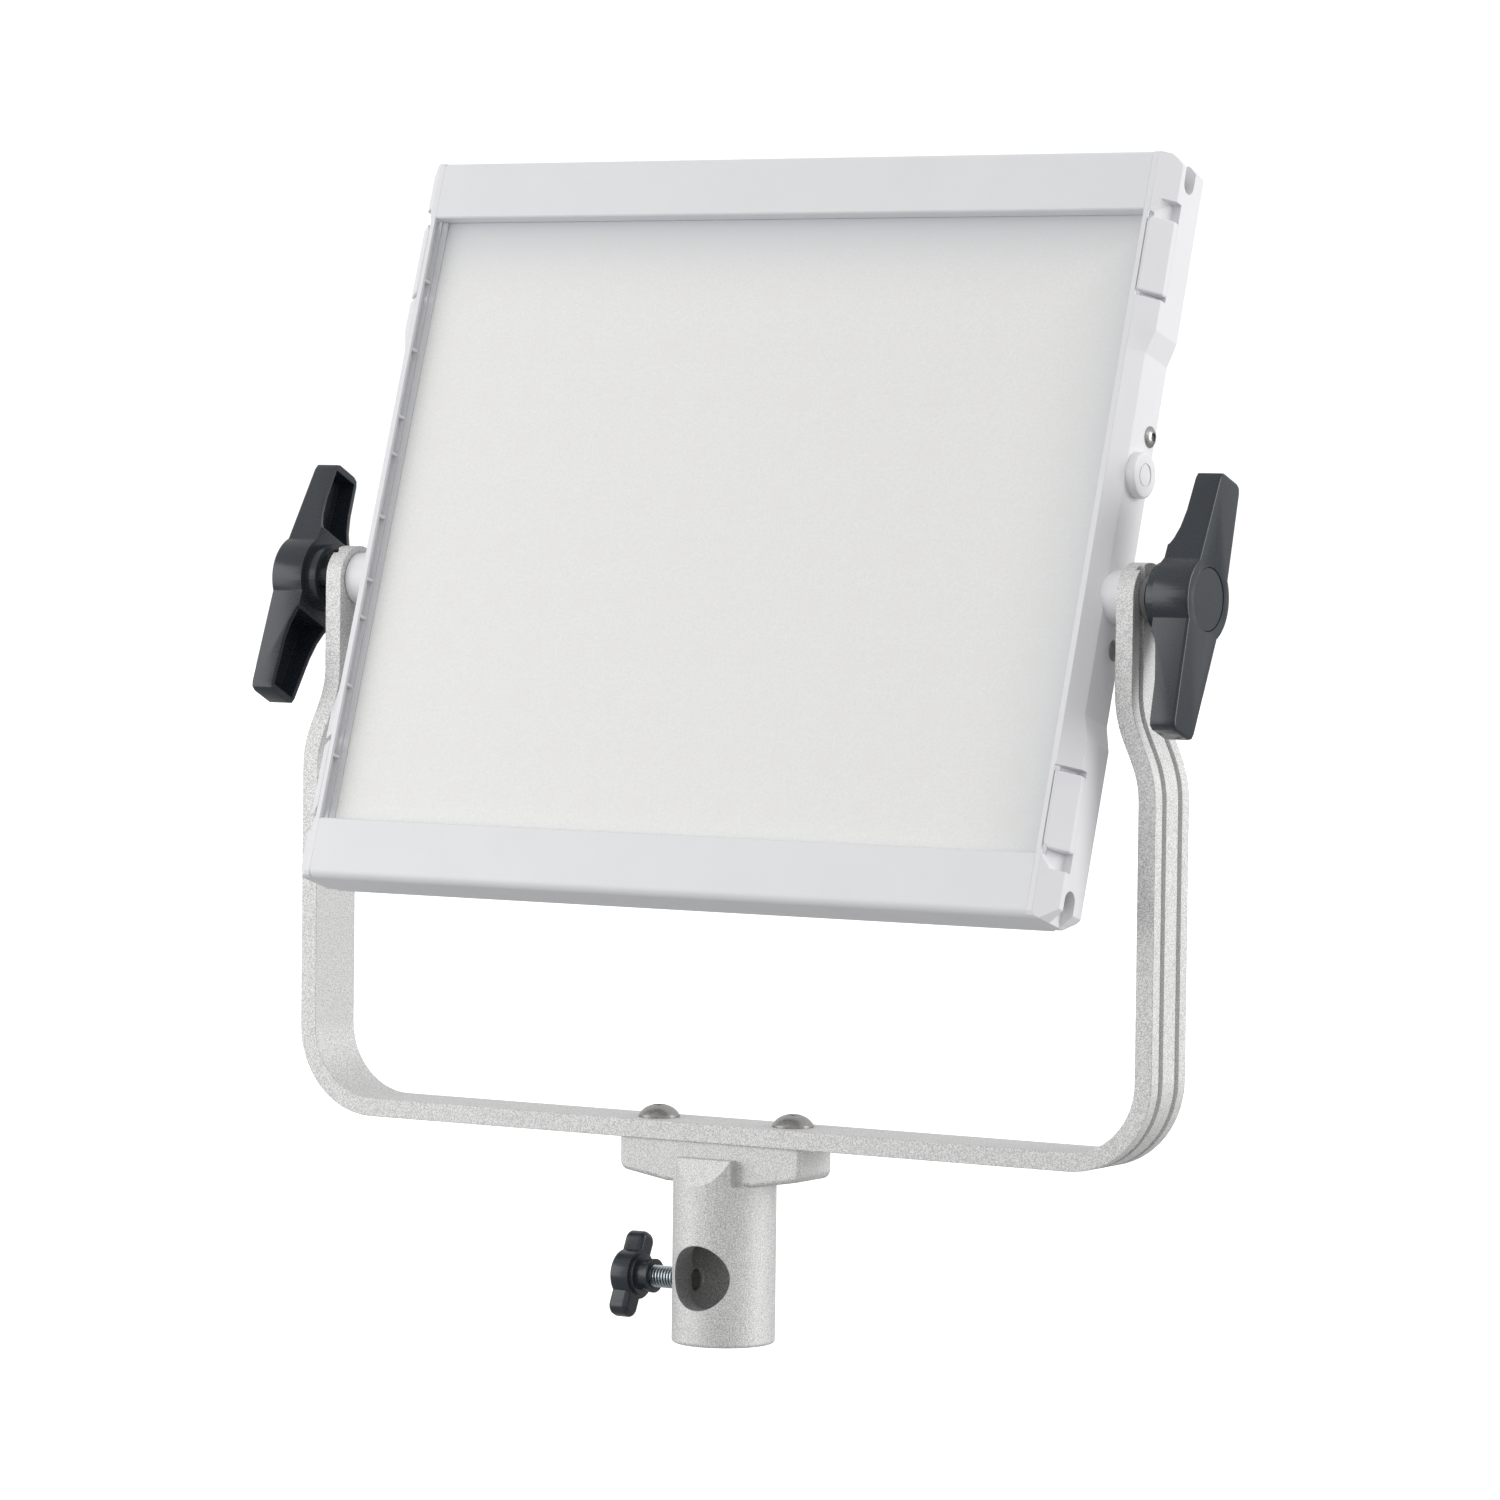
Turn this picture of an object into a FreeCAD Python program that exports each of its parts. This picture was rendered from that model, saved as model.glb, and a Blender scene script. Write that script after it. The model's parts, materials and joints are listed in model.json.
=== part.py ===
"""Soft LED panel light on a U-shaped yoke with a stand socket.

Frame: +Z up, +Y to the back, +X to the right as seen from in front of the light.
The origin is the centre of the stand socket's mouth. All lengths are millimetres.
The head is drawn in its own upright frame, with the tilt axis along X through its
origin, and then leaned back by headTilt about that axis.
"""
import FreeCAD, Part
import math
import os

import Sketcher
from FreeCAD import Placement, Rotation, Vector

os.makedirs("parts", exist_ok=True)
doc = FreeCAD.newDocument("panel_light")

# ---------------------------------------------------------------- driving dimensions
DRIVING = {
    # head: extruded rails between two end caps
    "railLength": 370.0,
    "topRailTall": 26.7,
    "bottomRailTall": 27.6,
    "topEdgeRadius": 2.2,
    "bottomEdgeRadius": 3.8,
    "railWall": 2.0,
    "windowHeight": 286.0,
    "headFront": 17.5,
    "headDepth": 27.9,
    "headRise": 25.7,
    "headTilt": 17.7,
    "capLip": 2.7,
    "capBevel": 8.3,
    "capRecess": 2.8,
    "recessHalf": 80.5,
    "recessRamp": 10.5,
    "diffuserSink": 6.5,
    "diffuserSheet": 2.0,
    "frameLedge": 3.0,
    # sliding accessory latches in the end caps
    "latchLength": 33.8,
    "latchCentre": 123.6,
    "latchSpare": 2.3,
    "latchWindow": 44.5,
    # yoke bar
    "barWidth": 30.0,
    "barThick": 8.2,
    "barUnderside": 89.8,
    "yokeHalfLow": 221.6,
    "yokeHalfHigh": 209.5,
    "bendRadius": 35.5,
    "jogTop": 285.0,
    "jogBottom": 257.5,
    "jogRadius": 45.0,
    "grooveOffset": 7.1,
    "grooveWidth": 3.8,
    "grooveDepth": 2.0,
    "pivotHeight": 334.5,
    # stand socket
    "socketRadius": 23.0,
    "spigotBore": 14.4,
    "sideBore": 14.3,
    "sideBoreHeight": 30.5,
    "boreDepth": 70.0,
    "blockHalf": 47.2,
    "blockHalfWidth": 13.7,
    "boltOffset": 35.0,
    "boltHead": 9.2,
    "boltShank": 4.0,
    # screws with handles
    "studRadius": 5.0,
    "runningGap": 0.05,
    "partGap": 0.3,
    "clampHeight": 26.5,
    "trunnionRadius": 8.0,
    "knobFace": 237.5,
    "knobReachUp": 54.5,
    "knobReachDown": 60.5,
    "knobHub": 19.3,
    "holePlay": 0.1,
    "knobLeanRight": 20.5,
    "knobLeanLeft": 26.0,
    # electronics box behind the head
    "boxHalf": 95.0,
    "boxLow": -62.0,
    "boxHigh": 62.0,
    "boxDepth": 34.0,
    "boxWall": 2.5,
}

sheet = doc.addObject("Spreadsheet::Sheet", "Dims")
for row, (alias, number) in enumerate(DRIVING.items(), start=1):
    sheet.set("A%d" % row, alias)
    sheet.set("B%d" % row, str(number))
    sheet.setAlias("B%d" % row, alias)
doc.recompute()


class Size:
    """A length that carries both its number and its spreadsheet formula."""

    def __init__(self, formula, number):
        self.formula = formula
        self.number = number

    def _with(self, sign, other, number):
        other = sized(other)
        return Size("(%s %s %s)" % (self.formula, sign, other.formula), number(self.number, other.number))

    def __add__(self, other):
        return self._with("+", other, lambda a, b: a + b)

    def __radd__(self, other):
        return sized(other) + self

    def __sub__(self, other):
        return self._with("-", other, lambda a, b: a - b)

    def __rsub__(self, other):
        return sized(other) - self

    def __mul__(self, other):
        return self._with("*", other, lambda a, b: a * b)

    def __rmul__(self, other):
        return sized(other) * self

    def __truediv__(self, other):
        return self._with("/", other, lambda a, b: a / b)

    def __neg__(self):
        return sized(-1.0) * self

    def __float__(self):
        return float(self.number)


def sized(value):
    if isinstance(value, Size):
        return value
    return Size("(%.6f)" % value, float(value))


D = {alias: Size("Dims." + alias, getattr(sheet, alias)) for alias in DRIVING}


def num(alias):
    return float(D[alias])


# ---------------------------------------------------------------- building blocks
NODES = {}


def bind(obj, prop, value):
    """Ties one property of an object to its spreadsheet formula."""
    obj.setExpression(prop, sized(value).formula)


def bind_base(obj, corner):
    for letter, value in zip("xyz", corner):
        bind(obj, "Placement.Base." + letter, value)


def box(name, low, high):
    """A block between two corners."""
    obj = doc.addObject("Part::Box", name)
    obj.Placement = Placement(Vector(*[float(value) for value in low]), Rotation())
    for prop, start, end in zip(("Length", "Width", "Height"), low, high):
        bind(obj, prop, sized(end) - start)
    bind_base(obj, low)
    return obj


TURN = {
    "+X": Rotation(Vector(0, 1, 0), 90),
    "-X": Rotation(Vector(0, 1, 0), -90),
    "+Y": Rotation(Vector(1, 0, 0), -90),
    "-Y": Rotation(Vector(1, 0, 0), 90),
    "+Z": Rotation(),
}


def rod(name, radius, length, start, way):
    """A round bar that starts at a point and runs along one axis."""
    obj = doc.addObject("Part::Cylinder", name)
    obj.Placement = Placement(Vector(*[float(value) for value in start]), TURN[way])
    bind(obj, "Radius", radius)
    bind(obj, "Height", length)
    bind_base(obj, start)
    return obj


def cut(name, base, *tools):
    """The base with every tool taken out of it."""
    obj = doc.addObject("Part::Cut", name)
    obj.Base = base
    obj.Tool = tools[0] if len(tools) == 1 else join(name + "_tools", *tools)
    return obj


def join(name, *shapes):
    obj = doc.addObject("Part::MultiFuse", name)
    obj.Shapes = list(shapes)
    return obj


def overlap(name, *shapes):
    obj = doc.addObject("Part::MultiCommon", name)
    obj.Shapes = list(shapes)
    return obj


def origin_plane(body, role):
    for plane in body.Origin.OriginFeatures:
        if plane.Role == role:
            return plane
    raise ValueError(role)


def sketch_on(body, role, loops, level):
    """A sketch of closed polygons whose corners follow the spreadsheet."""
    sketch = body.newObject("Sketcher::SketchObject", body.Name + "_sketch")
    sketch.AttachmentSupport = [(origin_plane(body, role), "")]
    sketch.MapMode = "FlatFace"
    sketch.AttachmentOffset = Placement(Vector(0, 0, float(level)), Rotation())
    bind(sketch, "AttachmentOffset.Base.z", level)
    for loop in loops:
        points = [Vector(float(x), float(y), 0) for x, y in loop]
        first = sketch.GeometryCount
        count = len(points)
        for index in range(count):
            line = Part.LineSegment(points[index], points[(index + 1) % count])
            sketch.addGeometry(line, False)
        for index in range(count):
            following = first + (index + 1) % count
            sketch.addConstraint(Sketcher.Constraint("Coincident", first + index, 2, following, 1))
        for index, corner in enumerate(loop):
            for kind, value in zip(("DistanceX", "DistanceY"), corner):
                rule = Sketcher.Constraint(kind, -1, 1, first + index, 1, float(value))
                number = sketch.addConstraint(rule)
                bind(sketch, "Constraints[%d]" % number, value)
    return sketch


def prism(name, role, loops, low, high):
    """Polygons in one origin plane, padded between two levels on its normal.

    XY_Plane pads up +Z, YZ_Plane pads along +X, and XZ_Plane pads towards -Y.
    """
    body = doc.addObject("PartDesign::Body", name)
    sketch = sketch_on(body, role, loops, low)
    pad = body.newObject("PartDesign::Pad", name + "_pad")
    pad.Profile = sketch
    bind(pad, "Length", sized(high) - low)
    sketch.Visibility = False
    body.Tip = pad
    return body


def rounded(name, base, radius, pick):
    """The base with the picked edges rounded."""
    doc.recompute()
    obj = doc.addObject("Part::Fillet", name)
    obj.Base = base
    size = float(radius)
    obj.Edges = [(i, size, size) for i, edge in enumerate(base.Shape.Edges, start=1) if pick(edge)]
    return obj


def made(name, shape):
    """A sub-part made directly from a shape."""
    obj = doc.addObject("Part::Feature", name)
    obj.Shape = shape
    return obj


def node(name, obj, placement=None):
    """Registers a finished sub-part under its own label, moved to its place."""
    if placement is not None and obj.TypeId in ("Part::Box", "Part::Cylinder"):
        obj.Label = name + "_solid"
        blank = obj
        obj = doc.addObject("Part::Compound", name + "_placed")
        obj.Links = [blank]
    obj.Label = name
    if placement is not None:
        obj.Placement = placement
    NODES[name] = obj
    return obj


def mirrored(points):
    return [(-sized(x), y) for x, y in reversed(points)]


def along(edge, axis):
    """Whether a straight edge runs along an axis."""
    if edge.Curve.TypeId != "Part::GeomLine":
        return False
    return abs(edge.Curve.Direction.dot(axis)) > 0.999


X_AXIS = Vector(1, 0, 0)
Y_AXIS = Vector(0, 1, 0)
Z_AXIS = Vector(0, 0, 1)

HEAD = Placement(Vector(0, 0, num("pivotHeight")), Rotation(X_AXIS, -num("headTilt")))

# Head frame: X to the right, -Y to the front, Z up the panel, origin on the tilt axis.
HALF_RAIL = D["railLength"] / 2
FRONT = -D["headFront"]
BACK = D["headDepth"] - D["headFront"]
WINDOW_TOP = D["headRise"] + D["windowHeight"] / 2
WINDOW_LOW = D["headRise"] - D["windowHeight"] / 2
HEAD_TOP = WINDOW_TOP + D["topRailTall"]
HEAD_LOW = WINDOW_LOW - D["bottomRailTall"]
CAP_SIDE = HALF_RAIL + D["capLip"] + D["capBevel"]
CAP_MIDDLE = CAP_SIDE - D["capRecess"]
SIDES = {"right": 1, "left": -1}


# ---------------------------------------------------------------- yoke
def rounded_path(corners, radii, shift):
    """Edges of a polyline with rounded corners, moved sideways by shift to its left."""
    points = [Vector(x, 0, z) for x, z in corners]
    ways = [(b - a).normalize() for a, b in zip(points, points[1:])]
    lefts = [Vector(way.z, 0, -way.x) * -1 for way in ways]
    edges = []
    start = points[0] + lefts[0] * shift
    for index, radius in enumerate(radii):
        corner = points[index + 1]
        turn = ways[index].getAngle(ways[index + 1])
        reach = radius * math.tan(turn / 2)
        inner = (ways[index + 1] - ways[index]).normalize()
        centre = corner + inner * (radius / math.cos(turn / 2))
        entry = corner - ways[index] * reach + lefts[index] * shift
        leave = corner + ways[index + 1] * reach + lefts[index + 1] * shift
        middle = centre - inner * (entry - centre).Length
        edges.append(Part.LineSegment(start, entry).toShape())
        edges.append(Part.Arc(entry, middle, leave).toShape())
        start = leave
    edges.append(Part.LineSegment(start, points[-1] + lefts[-1] * shift).toShape())
    return edges


def bar_strip(corners, radii, outer, inner, low, high):
    """The bent bar between two depths of its thickness and two places across its width."""
    outside = rounded_path(corners, radii, outer)
    inside = rounded_path(corners, radii, inner)
    ends = [
        Part.LineSegment(outside[0].firstVertex().Point, inside[0].firstVertex().Point).toShape(),
        Part.LineSegment(outside[-1].lastVertex().Point, inside[-1].lastVertex().Point).toShape(),
    ]
    wire = Part.Wire(Part.__sortEdges__(outside + inside + ends))
    face = Part.Face(wire)
    face.translate(Vector(0, low, 0))
    return face.extrude(Vector(0, high - low, 0))


def build_yoke_bar():
    """Flat bar with two grooves along its outer face, bent to a U with a jog in each arm."""
    half = num("barThick") / 2
    top = num("pivotHeight") + num("barWidth") / 2
    low = num("barUnderside") + half
    narrow = num("yokeHalfHigh") - half
    wide = num("yokeHalfLow") - half
    left = [(-narrow, top), (-narrow, num("jogTop")), (-wide, num("jogBottom")), (-wide, low)]
    corners = left + [(-x, z) for x, z in reversed(left)]
    bend, jog = num("bendRadius"), num("jogRadius")
    radii = [jog, jog, bend, bend, jog, jog]
    width = num("barWidth") / 2
    bar = bar_strip(corners, radii, -half, half, -width, width)
    for side in (-1, 1):
        middle = side * num("grooveOffset")
        reach = num("grooveWidth") / 2
        floor = num("grooveDepth") - half
        groove = bar_strip(corners, radii, -half - 1, floor, middle - reach, middle + reach)
        bar = bar.cut(groove)
    # half-round arm ends about the tilt axis, and the trunnion holes
    pivot = num("pivotHeight")
    span = 2 * num("yokeHalfLow") + 20
    keep = Part.makeCylinder(width, span, Vector(-span / 2, 0, pivot), X_AXIS)
    keep = keep.fuse(Part.makeBox(span, 2 * width, pivot, Vector(-span / 2, -width, 0)))
    bar = bar.common(keep)
    bar = bar.cut(Part.makeCylinder(num("trunnionRadius"), span, Vector(-span / 2, 0, pivot), X_AXIS))
    bolt = num("boltShank") + num("holePlay")
    for side in (-1, 1):
        place = Vector(side * num("boltOffset"), 0, num("barUnderside") - 1)
        bar = bar.cut(Part.makeCylinder(bolt, num("barThick") + 2, place))
    node("yoke_bar", made("yoke_bar", bar))


# ---------------------------------------------------------------- stand socket
BLOCK_LOW = 71.4
BLOCK_END = 75.4
BLOCK_CORNER = 4.2
BLOCK_EDGE = 2.2
POST_RIM = 1.4
WEB_HALF = 14.2
WEB_TOP = 82.8
WEB_FRONT = 18.1
FACET_LOW = 71.5


def build_spigot_socket():
    """Cast receiver: a bored post under a tapering flange block, with a side bore."""
    post = rod("socket_post", D["socketRadius"], WEB_TOP, (0, 0, 0), "+Z")
    post = rounded("socket_rim", post, POST_RIM, lambda edge: edge.CenterOfMass.z < 0.01 and edge.Closed)
    trims = []
    reach = D["socketRadius"] + 1
    for name, side in SIDES.items():
        for face, way in (("front", -1), ("back", 1)):
            xs = sorted((side * WEB_HALF, side * float(reach)))
            ys = sorted((way * num("blockHalfWidth"), way * float(reach)))
            low, high = (xs[0], ys[0], BLOCK_LOW), (xs[1], ys[1], WEB_TOP + 1)
            trims.append(box("web_%s_%s" % (name, face), low, high))
    for face, way in (("front", -1), ("back", 1)):
        wedge = [
            (way * D["socketRadius"], FACET_LOW),
            (way * reach, FACET_LOW),
            (way * reach, WEB_TOP + 1),
            (way * WEB_FRONT, WEB_TOP + 1),
            (way * WEB_FRONT, WEB_TOP),
        ]
        trims.append(prism("facet_" + face, "YZ_Plane", [wedge], -reach, reach))
    post = cut("socket_trimmed", post, *trims)
    end, width = D["blockHalf"], D["blockHalfWidth"]
    side = [(end, D["barUnderside"]), (end, BLOCK_END), (D["socketRadius"], BLOCK_LOW)]
    block = prism("flange_block", "XZ_Plane", [side + mirrored(side)], -width, width)
    block = rounded("flange_corners", block, BLOCK_CORNER, lambda edge: along(edge, Y_AXIS)
                    and abs(edge.CenterOfMass.x) > float(end) - 0.1 and edge.CenterOfMass.z < BLOCK_END + 0.1)
    top = num("barUnderside")
    block = rounded("flange_rounded", block, BLOCK_EDGE, lambda edge: not along(edge, Y_AXIS)
                    and edge.CenterOfMass.z < top - 0.1)
    body = join("socket_blank", post, block)
    wall = D["socketRadius"] + 1
    holes = [
        rod("spigot_bore", D["spigotBore"], D["boreDepth"], (0, 0, 0), "+Z"),
        rod("side_bore", D["sideBore"], wall, (0, -wall, D["sideBoreHeight"]), "+Y"),
        rod("clamp_bore", D["studRadius"] + D["runningGap"], wall - 8, (-wall, 0, D["clampHeight"]), "+X"),
    ]
    for name, way in SIDES.items():
        start = (way * D["boltOffset"], 0, BLOCK_END + 2.0)
        depth = D["barUnderside"] - BLOCK_END
        holes.append(rod("bolt_hole_" + name, D["boltShank"] + D["holePlay"], depth, start, "+Z"))
    node("spigot_socket", cut("spigot_socket", body, *holes))


def dome_screw(head_radius, head_height, shank_radius, shank_length, socket_radius):
    """Button-head screw standing on z = 0, shank down, with a hexagon socket."""
    rim = head_height * 0.18
    profile = [
        Part.LineSegment(Vector(0, 0, 0), Vector(head_radius, 0, 0)).toShape(),
        Part.LineSegment(Vector(head_radius, 0, 0), Vector(head_radius, 0, rim)).toShape(),
        Part.Arc(
            Vector(head_radius, 0, rim),
            Vector(head_radius * 0.66, 0, head_height * 0.76),
            Vector(0, 0, head_height),
        ).toShape(),
        Part.LineSegment(Vector(0, 0, head_height), Vector(0, 0, 0)).toShape(),
    ]
    head = Part.Face(Part.Wire(profile)).revolve(Vector(0, 0, 0), Z_AXIS, 360)
    hexagon = [Vector(socket_radius * math.cos(math.radians(60 * i)),
                      socket_radius * math.sin(math.radians(60 * i)), head_height * 0.35) for i in range(7)]
    socket = Part.Face(Part.makePolygon(hexagon)).extrude(Vector(0, 0, head_height))
    shank = Part.makeCylinder(shank_radius, shank_length, Vector(0, 0, -shank_length))
    return head.fuse(shank).removeSplitter().cut(socket)


def build_socket_bolts():
    top = num("barUnderside") + num("barThick")
    length = top - BLOCK_END - 2.0
    bolt = dome_screw(num("boltHead"), 5.5, num("boltShank"), length, 3.4)
    bolts = []
    for way in SIDES.values():
        copy = bolt.copy()
        copy.translate(Vector(way * num("boltOffset"), 0, top))
        bolts.append(copy)
    node("socket_bolts", made("socket_bolts", Part.makeCompound(bolts)))


# ---------------------------------------------------------------- socket clamp
STUD_END = -39.0
PAD_FACE = -14.8
PAD_THICK = 3.0
HANDLE_INNER = -44.0
HANDLE_OUTER = -54.0
BOSS_END = -36.2
HANDLE_LEAN = 25.0
HUB_RADIUS = 11.0
CLAMP_AXIS = Placement(Vector(0, 0, num("clampHeight")), Rotation(X_AXIS, -HANDLE_LEAN))


def build_clamp():
    """Pressure pad, stud and small T-handle on one axis along X."""
    pad = rod("clamp_pad", 4.2, PAD_THICK, (PAD_FACE - PAD_THICK, 0, D["clampHeight"]), "+X")
    node("clamp_pad", pad)
    tip = PAD_FACE - PAD_THICK - num("partGap")
    stud = rod("clamp_stud", D["studRadius"], tip - STUD_END, (STUD_END, 0, D["clampHeight"]), "+X")
    node("clamp_stud", stud)

    reach, half = 19.8, 5.4
    bar = box("clamp_bar", (HANDLE_OUTER, -half, -reach), (HANDLE_INNER, half, reach))
    bar = rounded("clamp_bar_rounded", bar, 4.6, lambda edge: along(edge, X_AXIS))
    bar = rounded("clamp_bar_soft", bar, 2.4,
                  lambda edge: edge.BoundBox.XLength < 0.01)
    hub = rod("clamp_hub", HUB_RADIUS, HANDLE_INNER - HANDLE_OUTER, (HANDLE_OUTER, 0, 0), "+X")
    hub = rounded("clamp_hub_soft", hub, 2.0,
                  lambda edge: edge.Closed and edge.CenterOfMass.x < HANDLE_OUTER + 0.1)
    shoulder = rod("clamp_shoulder", 9.2, 2.6, (HANDLE_INNER - 1, 0, 0), "+X")
    boss = rod("clamp_boss", 7.0, BOSS_END - HANDLE_INNER + 1, (HANDLE_INNER - 1, 0, 0), "+X")
    collar = rod("clamp_collar", 7.6, 1.6, (BOSS_END - 1.6, 0, 0), "+X")
    seat = rod("clamp_seat", D["studRadius"], BOSS_END - STUD_END + 1, (STUD_END, 0, 0), "+X")
    handle = join("clamp_handle", bar, hub, shoulder, boss, collar)
    node("clamp_knob", cut("clamp_knob", handle, seat), CLAMP_AXIS)


# ---------------------------------------------------------------- head: rails and caps
RAIL_EDGES = {"top": (1, D["topEdgeRadius"]), "bottom": (-1, D["bottomEdgeRadius"])}


def rail_loops(low, high, name):
    """Hollow rail section in (Y, Z): outer skin, still sharp at its outer front corner, and its cavity."""
    wall = D["railWall"]
    way, radius = RAIL_EDGES[name]
    away, near = (high, low) if way > 0 else (low, high)
    inset = radius * 0.6
    skin = [
        (FRONT, near + way * 0.6),
        (FRONT, away),
        (BACK - 1.5, away),
        (BACK, away - way * 1.5),
        (BACK, near),
        (FRONT + 0.6, near),
    ]
    cavity = [
        (FRONT + wall, near + way * wall),
        (FRONT + wall, away - way * (wall + inset)),
        (FRONT + wall + inset, away - way * wall),
        (BACK - wall, away - way * wall),
        (BACK - wall, near + way * wall),
    ]
    return [skin, cavity]


def build_rails():
    for name, low, high in (("top", WINDOW_TOP, HEAD_TOP), ("bottom", HEAD_LOW, WINDOW_LOW)):
        way, radius = RAIL_EDGES[name]
        away = float(high if way > 0 else low)
        bar = prism(name + "_rail_bar", "YZ_Plane", rail_loops(low, high, name), -HALF_RAIL, HALF_RAIL)

        def front_corner(edge):
            middle = edge.CenterOfMass
            return along(edge, X_AXIS) and abs(middle.y - float(FRONT)) < 0.01 and abs(middle.z - away) < 0.01
        node(name + "_rail", rounded(name + "_rail", bar, radius, front_corner), HEAD)


TOP_CHAMFER = 3.7
LOW_CHAMFER = 5.8
BACK_CHAMFER = 4.0
SCREW_BEYOND = 16.8
RIB_WIDTH = 1.3
RIBS = (0.0, 30.1, 47.8, 80.2, 113.3)
LATCH_FLOOR = 5.2
TRUNNION_BOSS = 12.0
CAP_SCREW_RISE = 47.7
CAP_SCREW_BACK = 5.7
VENT_RISE = 28.7


def cap_prism(name, side, points, low, high):
    """Pads a (distance from the middle, forward distance) section between two heights."""
    section = [(side * sized(x), -sized(forward)) for x, forward in points]
    return prism(name, "XY_Plane", [section], low, high)


def cap_section(face):
    """Cap section as (distance from the middle, forward distance) with its front bevel."""
    lip = HALF_RAIL + D["capLip"]
    drop = D["capBevel"] if face is CAP_SIDE else D["capBevel"] - 0.8
    return [(HALF_RAIL, -BACK), (HALF_RAIL, -FRONT), (lip, -FRONT), (face, -FRONT - drop), (face, -BACK)]


def cap_ramp(name, side, near, far):
    """The short slope between the recessed middle of the side face and its full width."""
    sections = []
    for face, height in ((CAP_MIDDLE, near), (CAP_SIDE, far)):
        ring = [Vector(side * float(x), -float(forward), float(height)) for x, forward in cap_section(face)]
        sections.append(Part.makePolygon(ring + ring[:1]))
    return made(name, Part.makeLoft(sections, True, True))


LATCH_LIP = HALF_RAIL + D["capLip"] - 0.5
LATCH_BEND = CAP_SIDE - 3.8
LATCH_GAP = 0.35
WEDGE_WIDE = 4.7
WEDGE_TALL = 8.4
LATCH_CORNER = 1.7
SCREW_SHANK = 2.0


def slot_section():
    """Section of a latch slot, open to the front and to the side."""
    return [
        (LATCH_LIP, -FRONT + 1),
        (LATCH_LIP, LATCH_FLOOR + 8.4),
        (LATCH_BEND, LATCH_FLOOR),
        (CAP_SIDE + 1, LATCH_FLOOR),
        (CAP_SIDE + 1, -FRONT + 1),
    ]


def latch_section():
    """Section of a latch, a small gap clear of its slot and nearly flush with the cap's bevel."""
    return [
        (LATCH_LIP + LATCH_GAP, -FRONT - LATCH_GAP),
        (LATCH_LIP + LATCH_GAP, LATCH_FLOOR + 8.4 + LATCH_GAP),
        (LATCH_BEND + LATCH_GAP, LATCH_FLOOR + LATCH_GAP),
        (CAP_SIDE + 0.2, LATCH_FLOOR + LATCH_GAP),
        (CAP_SIDE + 0.2, -FRONT - D["capBevel"] - 0.3),
        (LATCH_LIP + 1.2, -FRONT - LATCH_GAP),
    ]


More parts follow.
